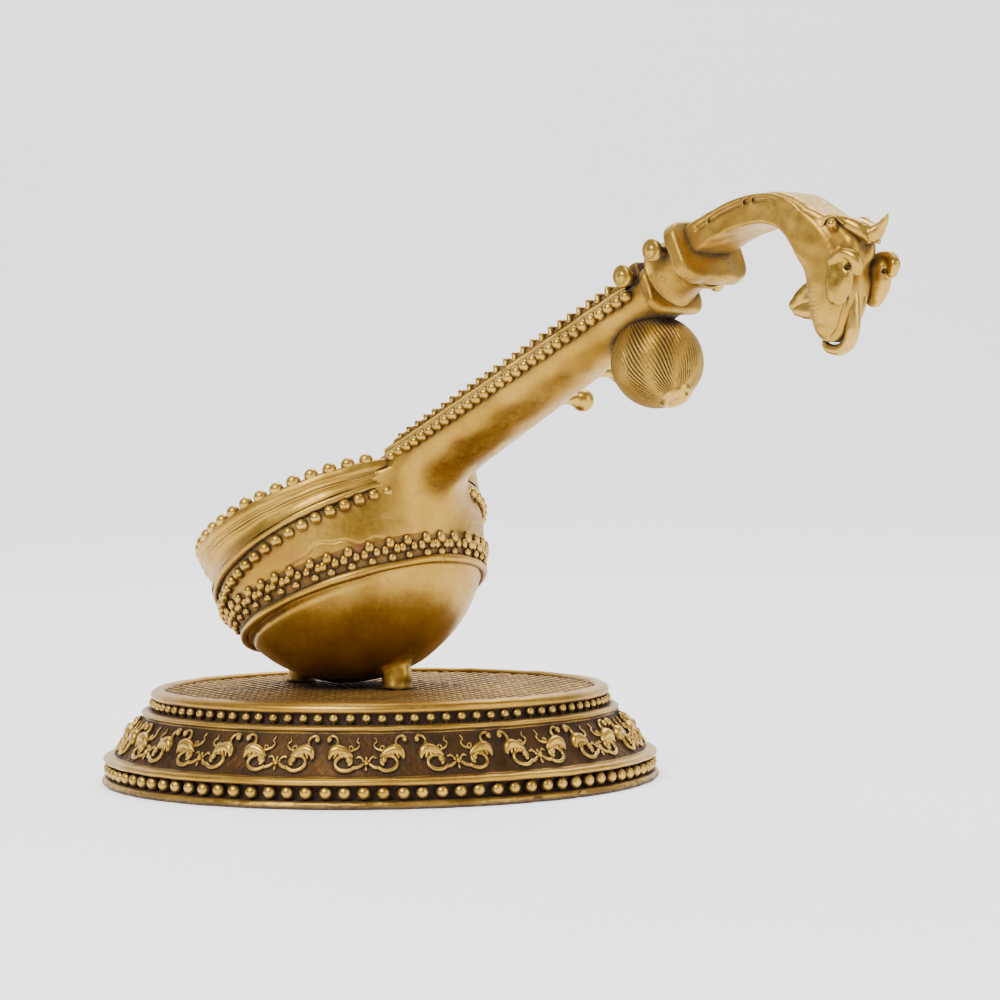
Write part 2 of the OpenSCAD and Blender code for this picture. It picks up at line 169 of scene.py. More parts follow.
def join(parts):
    """Several (verts, faces) as one."""
    verts, faces, at = [], [], 0
    for v, f in parts:
        verts.append(np.asarray(v, float))
        faces += [[i + at for i in face] for face in f]
        at += len(v)
    return np.vstack(verts), faces


def strip(rows, cols, around=False, along=False):
    """Faces of a grid of rows by cols points, closed round its columns or rows where asked."""
    faces = []
    for i in range(rows if along else rows - 1):
        for j in range(cols if around else cols - 1):
            a, b = i * cols + j, i * cols + (j + 1) % cols
            c, d = (i + 1) % rows * cols + (j + 1) % cols, (i + 1) % rows * cols + j
            faces.append([a, b, c, d])
    return faces


def lathe(profile, turns, closed=False, start=0.0, sweep=2 * math.pi):
    """A (radius, height) profile turned about z: rows are the profile's points."""
    p = np.asarray(profile, float)
    full = sweep > 6.28
    a = start + np.linspace(0, sweep, turns, endpoint=not full)
    pts = np.stack(
        [np.outer(p[:, 0], np.cos(a)), np.outer(p[:, 0], np.sin(a)), np.repeat(p[:, 1:2], turns, 1)], -1
    )
    return pts, strip(len(p), turns, around=full, along=closed)


def rounded(profile, step=0.25):
    """A profile resampled finely, with its corners eased."""
    p = np.asarray(profile, float)
    d = np.r_[0, np.cumsum(np.linalg.norm(np.diff(p, axis=0), axis=1))]
    s = np.linspace(0, d[-1], max(3, int(d[-1] / step)))
    q = np.stack([np.interp(s, d, p[:, 0]), np.interp(s, d, p[:, 1])], -1)
    inner = (q[:-2] + 2 * q[1:-1] + q[2:]) / 4
    return np.vstack([q[:1], inner, q[-1:]])


def ball(centre, radius, out=(0, 0, 1), squash=1.0, segs=14, rings=9):
    """A bead: a round ball, squashed along out."""
    z = np.asarray(out, float) / np.linalg.norm(out)
    x = np.cross(z, [0.3, 0.9, 0.2])
    x /= np.linalg.norm(x)
    y = np.cross(z, x)
    t = np.linspace(0, math.pi, rings)[1:-1]
    a = np.linspace(0, 2 * math.pi, segs, endpoint=False)
    rim = np.stack(
        [np.outer(np.sin(t), np.cos(a)), np.outer(np.sin(t), np.sin(a)), np.repeat(np.cos(t)[:, None], segs, 1)], -1
    ).reshape(-1, 3)
    local = np.vstack([rim, [[0, 0, 1], [0, 0, -1]]]) * [radius, radius, radius * squash]
    faces = [f[::-1] for f in strip(rings - 2, segs, around=True)]
    top, low, last = len(rim), len(rim) + 1, (rings - 3) * segs
    faces += [[top, j, (j + 1) % segs] for j in range(segs)]
    faces += [[low, last + (j + 1) % segs, last + j] for j in range(segs)]
    return local @ np.array([x, y, z]) + np.asarray(centre), faces


def tube(path, radii, sides=8, lift=None):
    """A round tube with closed ends along a path of points; radii may vary along it."""
    p = np.asarray(path, float)
    r = np.broadcast_to(radii, len(p))
    t = np.gradient(p, axis=0)
    t /= np.linalg.norm(t, axis=1)[:, None]
    ref = np.asarray(lift if lift is not None else (0, 0, 1), float)
    u = np.cross(t, ref)
    u /= np.maximum(np.linalg.norm(u, axis=1), 1e-9)[:, None]
    v = np.cross(t, u)
    a = np.linspace(0, 2 * math.pi, sides, endpoint=False)
    ring = p[:, None] + r[:, None, None] * (np.cos(a)[:, None] * u[:, None] + np.sin(a)[:, None] * v[:, None])
    verts = np.vstack([ring.reshape(-1, 3), p[:1] - t[:1] * r[0] * 0.5, p[-1:] + t[-1:] * r[-1] * 0.5])
    faces = strip(len(p), sides, around=True)
    n, last = len(p) * sides, (len(p) - 1) * sides
    faces += [[n, (j + 1) % sides, j] for j in range(sides)]
    faces += [[n + 1, last + j, last + (j + 1) % sides] for j in range(sides)]
    return verts, faces


def curve(points, count):
    """A smooth curve through a few points (Catmull-Rom)."""
    p = np.asarray(points, float)
    q = np.vstack([2 * p[0] - p[1], p, 2 * p[-1] - p[-2]])
    out = []
    for s in np.linspace(0, len(p) - 1, count):
        i = min(int(s), len(p) - 2)
        f = s - i
        a, b, c, d = q[i : i + 4]
        out.append(0.5 * (2 * b + (c - a) * f + (2 * a - 5 * b + 4 * c - d) * f**2 + (3 * b - a - 3 * c + d) * f**3))
    return np.array(out)


# ---------------------------------------------------------------- solid fields
def space(low, high, step):
    """Sample points of a box, for a signed distance field."""
    axes = [np.arange(a, b + step, step, dtype=np.float32) for a, b in zip(low, high)]
    return np.meshgrid(*axes, indexing="ij")


def melt(a, b, k):
    """Union of two fields with a soft joint k wide."""
    h = np.clip(0.5 + 0.5 * (b - a) / k, 0, 1)
    return b + (a - b) * h - k * h * (1 - h)


def carve(a, b, k):
    """Field a with b taken away, with a soft edge k wide."""
    return -melt(-a, b, k)


def keep(a, b, k):
    """What two fields share, with a soft edge k wide."""
    return -melt(-a, -b, k)


def rod(g, a, b, ra, rb, flat=(1, 1, 1)):
    """A rod with round ends from a to b, which may taper; flat squashes space along each axis."""
    f = np.asarray(flat, float)
    a, b = np.asarray(a, float), np.asarray(b, float)
    ab = (b - a) / f
    p = [(g[i] - a[i]) / f[i] for i in range(3)]
    h = np.clip((p[0] * ab[0] + p[1] * ab[1] + p[2] * ab[2]) / max(float(ab @ ab), 1e-9), 0, 1)
    d = np.sqrt(sum((p[i] - ab[i] * h) ** 2 for i in range(3)))
    return (d - (ra + (rb - ra) * h)) * min(f)


def path_rod(g, points, radii, flat=(1, 1, 1), steps=5):
    """A rod with round ends along a smooth path; its radius varies smoothly too."""
    c = curve(np.column_stack([points, radii]), (len(points) - 1) * steps + 1)
    field = None
    for a, b in zip(c[:-1], c[1:]):
        d = rod(g, a[:3], b[:3], a[3], b[3], flat)
        field = d if field is None else np.minimum(field, d)
    return field


def ribbon(g, stations, edge):
    """A bar of square section along stations (x, z, radius, half width), with edges eased by edge."""
    c = curve(np.asarray(stations, float), (len(stations) - 1) * 5 + 1)
    reach = width = None
    for (ax, az, ar, aw), (bx, bz, br, bw) in zip(c[:-1], c[1:]):
        h = np.clip(((g[0] - ax) * (bx - ax) + (g[2] - az) * (bz - az)) / ((bx - ax) ** 2 + (bz - az) ** 2), 0, 1)
        d = np.hypot(g[0] - ax - (bx - ax) * h, g[2] - az - (bz - az) * h) - (ar + (br - ar) * h)
        w = aw + (bw - aw) * h
        if reach is None:
            reach, width = d, w
        else:
            width = np.where(d < reach, w, width)
            reach = np.minimum(reach, d)
    return keep(reach, np.abs(g[1]) - width, edge)


def skin(field, low, step):
    """Quads of the zero surface of a field."""
    grid = openvdb.FloatGrid(background=5.0)
    grid.copyFromArray(np.ascontiguousarray(field, dtype=np.float32))
    points, quads = grid.convertToQuads(0.0)
    return points.astype(float) * step + np.asarray(low), quads[:, ::-1].tolist()


# ---------------------------------------------------------------- materials
def mix_color(tree, factor, a, b):
    n = tree.nodes.new("ShaderNodeMix")
    n.data_type = "RGBA"
    for sock, val in ((n.inputs[0], factor), (n.inputs[6], a), (n.inputs[7], b)):
        if isinstance(val, bpy.types.NodeSocket):
            tree.links.new(val, sock)
        else:
            sock.default_value = val
    return n.outputs[2]


def value_range(tree, value, low, high, to_low, to_high):
    n = tree.nodes.new("ShaderNodeMapRange")
    tree.links.new(value, n.inputs[0])
    for i, v in enumerate((low, high, to_low, to_high)):
        n.inputs[i + 1].default_value = v
    return n.outputs[0]


def texture(tree, kind, scale, detail=3.0):
    coords = tree.nodes.new("ShaderNodeTexCoord")
    n = tree.nodes.new("ShaderNodeTex" + kind)
    n.inputs["Scale"].default_value = scale
    if "Detail" in n.inputs:
        n.inputs["Detail"].default_value = detail
    tree.links.new(coords.outputs["Object"], n.inputs["Vector"])
    return n.outputs[0]


def maths(tree, op, a, b):
    n = tree.nodes.new("ShaderNodeMath")
    n.operation = op
    n.use_clamp = True
    for sock, val in zip(n.inputs, (a, b)):
        if isinstance(val, bpy.types.NodeSocket):
            tree.links.new(val, sock)
        else:
            sock.default_value = val
    return n.outputs[0]


def brass(name, light, deep, rough, pits, grime_shade_from, grime_shade_to, stain=0.35):
    """Antique brass: gold that varies, with random stains and pits, darkened by an ambient occlusion node, partly grime
    in the hollows and partly painted shade in crevices, between parts and where it meets the floor; plain gold where it
    is open.
    """
    m = bpy.data.materials.new(name)
    m.use_nodes = True
    tree = m.node_tree
    shader = next(n for n in tree.nodes if n.type == "BSDF_PRINCIPLED")
    shade = tree.nodes.new("ShaderNodeAmbientOcclusion")
    shade.samples = 6
    shade.inputs["Distance"].default_value = 0.0026
    cavity = maths(tree, "SUBTRACT", 1.0, shade.outputs["AO"])
    broad = texture(tree, "Noise", 120, 4)
    fine = texture(tree, "Noise", 1500, 5)
    gold = mix_color(tree, value_range(tree, broad, 0.35, 0.65, 0, 1), light, deep)
    warm = value_range(tree, texture(tree, "Noise", 260, 2), 0.62, 0.74, 0, stain)
    gold = mix_color(tree, warm, gold, (0.36, 0.105, 0.05, 1))
    speck = value_range(tree, texture(tree, "Noise", 2600, 4), 0.60, 0.70, 0, pits)
    # painted shade: darkens towards crevices, gaps between parts and the floor contact, mixed with grime in the hollows
    # and with the pits
    grime_and_shade = maths(tree, "ADD", value_range(tree, cavity, grime_shade_from, grime_shade_to, 0, 1), speck)
    grime_and_shade = maths(tree, "MULTIPLY", grime_and_shade, value_range(tree, fine, 0.3, 0.6, 0.8, 1.15))
    colour = mix_color(tree, grime_and_shade, gold, (0.035, 0.016, 0.006, 1))
    tree.links.new(colour, shader.inputs["Base Color"])
    tree.links.new(value_range(tree, grime_and_shade, 0, 1, 1.0, 0.15), shader.inputs["Metallic"])
    tree.links.new(
        maths(tree, "ADD", value_range(tree, fine, 0.3, 0.7, rough - 0.07, rough + 0.07), value_range(tree, grime_and_shade, 0, 1, 0, 0.35)),
        shader.inputs["Roughness"],
    )
    bump = tree.nodes.new("ShaderNodeBump")
    bump.inputs["Strength"].default_value = 0.25 + pits * 0.5
    bump.inputs["Distance"].default_value = 0.00006
    tree.links.new(maths(tree, "SUBTRACT", fine, speck), bump.inputs["Height"])
    tree.links.new(bump.outputs[0], shader.inputs["Normal"])
    return m


SATIN = brass("satin_brass", (0.53, 0.315, 0.055, 1), (0.37, 0.20, 0.025, 1), 0.40, 0.14, 0.20, 0.55)
POLISHED = brass("polished_brass", (0.64, 0.41, 0.09, 1), (0.46, 0.27, 0.04, 1), 0.32, 0.08, 0.28, 0.62)
TRIM = brass("trim_brass", (0.62, 0.39, 0.08, 1), (0.45, 0.26, 0.04, 1), 0.34, 0.08, 0.34, 0.66)
PLINTH = brass("plinth_brass", (0.52, 0.31, 0.055, 1), (0.34, 0.18, 0.025, 1), 0.38, 0.16, 0.16, 0.45)
GROUND = brass("frieze_ground", (0.13, 0.06, 0.014, 1), (0.05, 0.022, 0.007, 1), 0.50, 0.3, 0.05, 0.35)
HOLLOW = brass("band_ground", (0.33, 0.175, 0.03, 1), (0.20, 0.095, 0.016, 1), 0.46, 0.3, 0.06, 0.36, 0.7)
PITTED = brass("pitted_brass", (0.50, 0.30, 0.055, 1), (0.33, 0.18, 0.025, 1), 0.44, 0.75, 0.16, 0.50)
PATINA = brass("woven_brass", (0.40, 0.235, 0.05, 1), (0.25, 0.135, 0.025, 1), 0.46, 0.25, 0.10, 0.45, 0.5)


def steel():
    m = bpy.data.materials.new("screw_steel")
    m.use_nodes = True
    tree = m.node_tree
    shader = next(n for n in tree.nodes if n.type == "BSDF_PRINCIPLED")
    shader.inputs["Metallic"].default_value = 1
    scratch = texture(tree, "Noise", 900, 5)
    tree.links.new(mix_color(tree, scratch, (0.5, 0.5, 0.52, 1), (0.3, 0.3, 0.31, 1)), shader.inputs["Base Color"])
    tree.links.new(value_range(tree, scratch, 0.3, 0.7, 0.28, 0.5), shader.inputs["Roughness"])
    return m


STEEL = steel()

# ---------------------------------------------------------------- plinth
PLINTH_TURNS = PLINTH_BEADS * 12


def plinth_body():
    inside = [(0, 11.0), (12, 11.0), (24, 11.0), (33, 11.0), (36.4, 7.9), (40.2, 2.9), (40.6, 0)]
    outside = [
        (44.6, 0), (45.0, 0.3), (45.0, 0.8), (44.7, 1.1), (44.2, 1.25), (43.4, 1.3), (43.0, 1.4), (42.9, 2.4),
        (43.0, 3.4), (44.1, 3.45), (44.6, 3.65), (44.75, 4.0), (44.6, 4.35), (44.0, 4.6), (43.4, 4.65), FRIEZE_LOW,
        FRIEZE_TOP, (38.3, 10.95), (38.6, 11.15), (38.65, 11.4), (38.4, 11.65), (37.6, 11.8), (36.2, 11.85), (36.1, 12.6),
        (36.2, 13.4), (36.8, 13.5), (37.05, 13.8), (37.05, 14.2), (36.8, 14.65), (36.3, 14.95), (35.7, 15.1), (35.2, 15.05),
        (34.85, 14.85), (34.7, 14.5), (34.65, 13.4),
    ]
    profile = np.vstack([inside, rounded(outside, 0.28)])
    pts, faces = lathe(profile, PLINTH_TURNS)
    turn = np.linspace(0, 2 * math.pi, PLINTH_TURNS, endpoint=False)
    z = profile[:, 1][:, None]
    r = profile[:, 0][:, None]
    on_frieze = (r > 38.2) & (r < 42.9) & (z > 4.75) & (z < 10.7)
    wave = turn + 0.012 * np.sin(3.1 * z + 2.0)
    streak = np.sin(wave * 311) * 0.5 + np.sin(wave * 187 + 1.3) * 0.3 + np.sin(wave * 433 + 0.4) * 0.35
    push = np.where(on_frieze, 0.11 * streak, 0)
    # casting flash and chips along the foot, heaviest towards the right of the front
    edge = (r > 43.5) & (z < 1.75)
    ragged = np.sin(turn * 23) + np.sin(turn * 41 + 1) + np.sin(turn * 67 + 2)
    heavy = np.exp(-(((turn - math.radians(345)) % (2 * math.pi)) / 0.5) ** 2) + 0.35
    line = 0.75 + 0.2 * np.sin(turn * 9) + 0.1 * ragged
    push = push - np.where(edge, 0.35 * heavy * np.clip(ragged - 0.8, 0, 1) * (z < line), 0)
    push = push - np.where(edge & (np.abs(z - line) < 0.16), 0.12, 0)
    unit = np.stack([np.cos(turn), np.sin(turn), np.zeros_like(turn)], -1)
    pts = pts + unit[None] * push[..., None]
    flat = wobble(pts.reshape(-1, 3), 0.03, 6)
    flat[:, 2] = np.maximum(flat[:, 2], 0)
    limit = PLINTH_R / np.maximum(np.hypot(flat[:, 0], flat[:, 1]), PLINTH_R)
    flat[:, :2] *= limit[:, None]
    piece = build("plinth_casting", flat, faces, PLINTH, ["plinth_shell"], "satin_brass", angle=60)
    height = profile[:, 1]
    sunk = (profile[:, 0] > 36) & (((height > 4.7) & (height < 10.8)) | ((height > 11.85) & (height < 13.45)))
    sunk |= (profile[:, 0] > 42.5) & (profile[:, 0] < 43.9) & (height > 1.3) & (height < 3.5)
    paint(piece, GROUND, np.repeat(sunk[:-1] & sunk[1:], PLINTH_TURNS))


def bead_ring(name, count, ring_r, height, bead_r, nodes, stem):
    parts = []
    for i in range(count):
        a = 2 * math.pi * i / count + rng.normal(0, 0.0012)
        out = np.array([math.cos(a), math.sin(a), 0])
        at = out * ring_r + [0, 0, height + rng.normal(0, 0.03)]
        parts.append(ball(at, bead_r * rng.uniform(0.94, 1.0), out, 0.95))
        if stem:
            parts.append(tube([at - [0, 0, 0.3], at - [0, 0, 0.62], at - [0, 0, 0.95]], [0.36, 0.2, 0.26], 6, out))
    verts, faces = join(parts)
    build(name, verts, faces, TRIM, nodes, "polished_brass", angle=0)


LEAN = math.atan2(FRIEZE_LOW[0] - FRIEZE_TOP[0], FRIEZE_TOP[1] - FRIEZE_LOW[1])
FRIEZE_MID = ((FRIEZE_TOP[0] + FRIEZE_LOW[0]) / 2, (FRIEZE_TOP[1] + FRIEZE_LOW[1]) / 2)
FRIEZE_PHASE = math.radians(-45.1)


def on_frieze(points, k):
    """(along, up the slope, outwards) on repeat k of the frieze."""
    u, v, w = np.asarray(points, float).T
    r = FRIEZE_MID[0] - v * math.sin(LEAN) + w * math.cos(LEAN)
    z = FRIEZE_MID[1] + v * math.cos(LEAN) + w * math.sin(LEAN)
    a = FRIEZE_PHASE + k * 2 * math.pi / FRIEZE_REPEATS + u / FRIEZE_MID[0]
    return np.stack([r * np.cos(a), r * np.sin(a), z], -1)


def flat_tube(points, radii, count=14, sides=8, w=0.12):
    """A tube over the flat of the frieze, through (u, v) points."""
    c = curve(np.asarray(points, float), count)
    path = np.column_stack([c, np.full(count, w)])
    r = np.interp(np.linspace(0, 1, count), np.linspace(0, 1, len(radii)), radii)
    return tube(path, r, sides, (0, 0, 1))


def scroll_points():
    """A C-scroll that rises from the flower, runs out under, and curls in on itself."""
    a = np.radians(np.linspace(-150, 215, 24))
    shrink = np.interp(a, np.radians([-150, 60, 215]), [1.0, 1.0, 0.38])
    return np.stack([2.85 + 1.42 * shrink * np.cos(a), -1.15 + 0.98 * shrink * np.sin(a)], -1)


def mirrored(part, side):
    v, f = part
    if side > 0:
        return v, f
    return v * [-1, 1, 1], [face[::-1] for face in f]


def motif():
    birds, scrolls, flower = [], [], []
    c = scroll_points()
    scroll = [tube(np.column_stack([c, np.full(len(c), 0.16)]), np.linspace(0.24, 0.3, len(c)), 8)]
    scroll.append(ball((2.45, -0.82, 0.28), 0.42, squash=0.8, segs=10, rings=7))
    scroll.append(flat_tube([(0.4, -1.25), (1.0, -1.6), (1.65, -1.75)], [0.2, 0.24, 0.24]))
    scroll.append(flat_tube([(0.35, -0.75), (0.9, -0.35), (1.4, -0.5)], [0.1, 0.18, 0.1], 8))
    bird = [flat_tube([(5.2, -0.55), (4.9, 0.1), (4.2, 0.45), (3.2, 0.3), (2.3, -0.1), (1.9, -0.35)],
                      [0.25, 0.62, 0.72, 0.6, 0.34, 0.1], 18, 10, 0.18)]
    for k in range(4):
        u = 3.1 + k * 0.62
        bird.append(flat_tube([(u - 0.25, 0.25), (u, -0.25), (u + 0.18, -0.45 - 0.1 * k)], [0.28, 0.24, 0.1], 8, 6, 0.3))
    bird.append(flat_tube([(4.7, 0.45), (4.35, 0.95), (4.2, 1.5), (4.55, 2.05), (5.15, 2.2), (5.6, 1.95)],
                          [0.42, 0.28, 0.22, 0.2, 0.2, 0.24], 20, 8, 0.2))
    bird.append(ball((5.5, 1.7, 0.32), 0.4, squash=0.8, segs=10, rings=7))
    bird.append(flat_tube([(2.6, 0.35), (1.9, 0.5), (1.25, 0.8), (1.05, 1.3), (1.45, 1.6), (1.2, 2.15)],
                          [0.2, 0.17, 0.15, 0.13, 0.12, 0.09], 20))
    bird.append(flat_tube([(1.9, 0.6), (2.1, 1.0), (2.5, 0.95), (2.45, 0.6)], [0.13, 0.13, 0.13, 0.13], 10, 6))
    flower.append(ball((0, -1.15, 0.25), 0.36, squash=0.8, segs=10, rings=7))
    for u, v in ((0, 0.62), (0.42, 0.3), (-0.42, 0.3), (0, -0.72)):
        flower.append(flat_tube([(u * 0.6, -1.15 + v * 0.55), (u * 1.1, -1.15 + v), (u * 1.3, -1.15 + v * 1.3)],
                                [0.14, 0.2, 0.12], 7, 7, 0.16))
    for side in (1, -1):
        birds += [mirrored(p, side) for p in bird]
        scrolls += [mirrored(p, side) for p in scroll]
    return join(birds), join(scrolls), join(flower)


def frieze():
    names = (("frieze_birds_relief", "frieze_birds"), ("frieze_scrolls_relief", "frieze_scrolls"),
             ("frieze_flowers_relief", "frieze_flowers"))
    for (v, f), (name, node) in zip(motif(), names):
        parts = [(on_frieze(wobble(v * [1.05, 1.4, 1.5], 0.02, 1.5), k), f) for k in range(FRIEZE_REPEATS)]
        verts, faces = join(parts)
        build(name, verts, faces, TRIM, [node], "polished_brass", angle=0)


def woven_panel():
    step = 0.21
    axis = np.arange(-PANEL_R, PANEL_R + step, step)
    x, y = np.meshgrid(axis, axis, indexing="ij")
    r = np.hypot(x, y)
    pull = np.minimum(1, PANEL_R / np.maximum(r, 1e-6))
    x, y = x * pull, y * pull
    c, s = math.cos(VIEW_TURN), math.sin(VIEW_TURN)
    u, v = x * c + y * s, -x * s + y * c
    row = np.floor(v / 2.2)
    within = np.abs(v / 2.2 - row - 0.5) * 2
    block = np.minimum(np.cos(2 * math.pi * (u / 1.9 + 0.5 * (row % 2))) + 0.45, (0.86 - within) * 5)
    height = 0.24 * np.tanh(3 * block)
    z = PANEL_TOP - 0.25 + height + 0.03 * noise(np.stack([x, y, x * 0], -1), 3)
    verts = np.stack([x, y, np.minimum(z, PANEL_TOP)], -1).reshape(-1, 3)
    n = len(axis)
    inside = (r < PANEL_R + step * 1.2).reshape(-1)
    faces = [f for f in strip(n, n) if inside[f].all()]
    used = np.unique(np.array(faces))
    new = np.full(n * n, -1)
    new[used] = np.arange(len(used))
    faces = [[int(new[i]) for i in f] for f in faces]
    build("woven_top", verts[used], faces, PATINA, ["woven_panel"], "dark_patina", angle=0)


def feet():
    parts = []
    for side in (1, -1):
        low, high, step = (-4.6, -4.6, -0.4), (4.6, 4.6, 8.0), 0.14
        g = space(low, high, step)
        d = keep(np.hypot(g[0], g[1]) - 1.9, g[2] - 6.5, 0.3)
        d = melt(d, rod(g, (-0.2 * side, -0.2, 1.7), (0.2, 0.1, 2.0), 2.15, 2.1), 0.8)
        d = melt(d, np.hypot(np.hypot(g[0], g[1]) - 1.6, g[2] - 0.1) - 0.75, 0.8)
        bowl = np.sqrt((g[0] + side * FOOT_OUT) ** 2 + g[1] ** 2 + (g[2] + PANEL_TOP - BOWL_AT[2]) ** 2) - BOWL_R + 0.15
        d = keep(melt(d, bowl, 1.8), np.hypot(g[0], g[1]) - 4.3, 0.2)
        d = keep(d, -0.1 - g[2], 0.2)
        v, f = skin(d, low, step)
        parts.append((wobble(v, 0.12, 3) + [BOWL_AT[0] + side * FOOT_OUT, 0, PANEL_TOP], f))
    build("cast_feet", *join(parts), SATIN, ["bowl_feet"], "satin_brass", angle=0)


plinth_body()
bead_ring("upper_beads", PLINTH_BEADS, 36.65, 12.75, 0.74, ["upper_bead_ring"], True)
bead_ring("lower_balls", PLINTH_BEADS, 43.75, 2.4, 1.03, ["lower_bead_ring"], False)
frieze()
woven_panel()
feet()


# ---------------------------------------------------------------- bowl
def at_angles(lon, lat, radius):
    return np.stack([radius * np.cos(lat) * np.cos(lon), radius * np.cos(lat) * np.sin(lon), radius * np.sin(lat)], -1)


def bowl():
    lon = np.linspace(0, 2 * math.pi, 480, endpoint=False)
    low, top = -math.pi / 2 + 0.002, math.asin((BOARD_LIFT - 1.0) / BOWL_R)
    lat = np.linspace(low, top, 200)
    la, lo = np.meshgrid(lat, lon, indexing="ij")
    p = at_angles(lo, la, 1.0)
    radius = BOWL_R + 0.05 * noise(p * 22, 7)
    # groove under the lower piping, deepest at the tail
    a = math.radians(-2)
    across = -p[..., 0] * math.sin(a) + p[..., 2] * math.cos(a)
    tail = np.clip(0.5 - 0.6 * p[..., 0], 0.1, 1)
    radius -= 0.35 * tail * np.exp(-(((across * BOWL_R + 11.9) / 0.45) ** 2))
    # irregular casting seam across the plain band
    seam = (across * BOWL_R + 6.0) - 1.0 * np.sin(lo * 5) - 0.4 * np.sin(lo * 13 + 1) - 0.25 * np.sin(lo * 31)
    side = (np.abs(p[..., 1]) > 0.4) & (p[..., 0] > -0.3)
    radius -= np.where(side, 0.16 * np.exp(-((seam / 0.16) ** 2)), 0)
    verts = tipped((p * radius[..., None]).reshape(-1, 3))
    n = len(verts)
    verts = np.vstack([verts, tipped([[0, 0, -BOWL_R]])])
    faces = strip(200, 480, around=True) + [[n, (j + 1) % 480, j] for j in range(480)]
    piece = build("bowl_skin", verts, faces, SATIN, ["bowl_shell"], "satin_brass", angle=0)
    lift = across * BOWL_R
    sunk = ((lift > -10.4) & (lift < -6.4)) | ((np.abs(lift + 11.75) < 0.4) & (tail > 0.45))
    sunk = (sunk[:-1] & sunk[1:]).reshape(-1)
    paint(piece, HOLLOW, np.r_[sunk, np.zeros(480, bool)])


NECK_GAP = math.radians(15)


def rim():
    profile = rounded(
        [(22.2, -2.5), (23.2, -2.5), (23.45, -2.3), (23.5, -1.9), (23.35, -1.7), (23.75, -1.5), (23.88, -1.0),
         (23.85, -0.3), (23.6, 0.05), (23.0, 0.2), (22.1, 0.2), (22.0, -0.4)], 0.18)
    pts, faces = lathe(profile, 360, start=NECK_GAP, sweep=2 * math.pi - 2 * NECK_GAP)
    verts = on_instrument(wobble(pts.reshape(-1, 3), 0.05, 5))
    build("rim_moulding", verts, faces, SATIN, ["rim_band"], "satin_brass", angle=0)


def rim_beads():
    parts = []
    for i in range(48):
        a = (i + 0.5) * math.pi / 24
        if abs((a + math.pi) % (2 * math.pi) - math.pi) < math.radians(20):
            continue
        at = on_instrument([23.0 * math.cos(a), 23.0 * math.sin(a), 0.45 + rng.normal(0, 0.04)])
        parts.append(ball(at, 1.2 * rng.uniform(0.94, 1.0), tipped([0, 0, 1], origin=0), 0.92, 18, 12))
    verts, faces = join(parts)
    build("rim_domes", verts, faces, TRIM, ["rim_beads"], "polished_brass", angle=0)


PIPING_TIP, PIPING_LIFT = math.radians(5.8), -1.0


def on_bowl(lon, lift, extra, radius):
    """A point on a circle of the bowl, tipped by extra, lift above the bowl's centre along the tipped axis."""
    flat = np.sqrt(np.maximum(radius**2 - lift**2, 0))
    return tipped(np.stack([flat * np.cos(lon), flat * np.sin(lon), np.broadcast_to(lift, np.shape(lon))], -1), extra)


def tail_band():
    lon = np.linspace(NECK_GAP, 2 * math.pi - NECK_GAP, 300)
    share = np.linspace(0, 1, 22)
    upper = on_instrument(np.stack([23.3 * np.cos(lon), 23.3 * np.sin(lon), np.full(300, -2.3)], -1))
    lower = on_bowl(lon, PIPING_LIFT + 0.5, PIPING_TIP, BOWL_R + 0.7)
    rows = []
    for k in share:
        p = upper * (1 - k) + lower * k
        out = p - BOWL_AT
        dist = np.linalg.norm(out, axis=1)
        width = np.linalg.norm(upper - lower, axis=1)
        hollow = np.clip(width / 8, 0, 1) * 0.9 * math.sin(math.pi * k)
        want = (BOWL_R + 0.85) - hollow + 0.45 * np.exp(-(((k - 0.12) / 0.1) ** 2))
        rows.append(BOWL_AT + out / dist[:, None] * np.maximum(want, BOWL_R + 0.05)[:, None])
    verts = wobble(np.array(rows).reshape(-1, 3), 0.07, 6)
    faces = strip(22, 300)
    back = BOWL_AT + (verts - BOWL_AT) * ((BOWL_R - 0.4) / np.linalg.norm(verts - BOWL_AT, axis=1))[:, None]
    build("tail_cove", *join([(verts, [f[::-1] for f in faces]), (back, faces)]), SATIN, ["tail_band"], "satin_brass", angle=0)


def cord(name, lift, extra, radius, thick, nodes, gap, uneven=0.06):
    lon = np.linspace(gap, 2 * math.pi - gap, 320)
    path = wobble(on_bowl(lon, lift, extra, radius), uneven, 9)
    size = thick * (1 + 0.12 * np.sin(lon * 7 + 1) * uneven / 0.06)
    build(name, *tube(path, size, 12), SATIN, nodes, "polished_brass", angle=0)


def side_beads():
    parts = []
    for i in range(58):
        a = (i + 0.5) * 2 * math.pi / 58
        if abs((a + math.pi) % (2 * math.pi) - math.pi) < math.radians(17):
            continue
        at = on_bowl(np.array(a), -3.15, math.radians(8), BOWL_R + 0.45)
        parts.append(ball(at, 0.98 * rng.uniform(0.93, 1.0), at - BOWL_AT, 0.9, 16, 10))
    verts, faces = join(parts)
    build("side_bead_row", verts, faces, TRIM, ["side_beads"], "polished_brass", angle=0)


def flower_band():
    parts = []
    tip = math.radians(-3.5)
    count = 42
    for i in range(count):
        a = i * 2 * math.pi / count + rng.normal(0, 0.008)
        for da, lift, size, long in ((0, -6.85, 0.76, 1.35), (-0.047, -7.85, 0.6, 1.4), (0.047, -7.85, 0.6, 1.4), (0, -9.05, 0.66, 1.0)):
            at = on_bowl(np.array(a + da), lift, tip, BOWL_R + 0.22)
            v, f = ball((0, 0, 0), size * rng.uniform(0.92, 1.04), (0, 0, 1), 0.8, 12, 8)
            v = v * [1, long, 1]
            spin = {-0.05: 0.7, 0.05: -0.7}.get(da, 0)
            v = v @ np.array(Matrix.Rotation(spin, 3, "Z")).T
            z = (at - BOWL_AT) / np.linalg.norm(at - BOWL_AT)
            x = np.cross([0, 0, 1.0], z)
            x /= np.linalg.norm(x)
            parts.append((v @ np.array([x, np.cross(z, x), z]) + at, f))
    verts, faces = join(parts)
    build("flower_relief", verts, faces, TRIM, ["flower_band"], "polished_brass", angle=0)


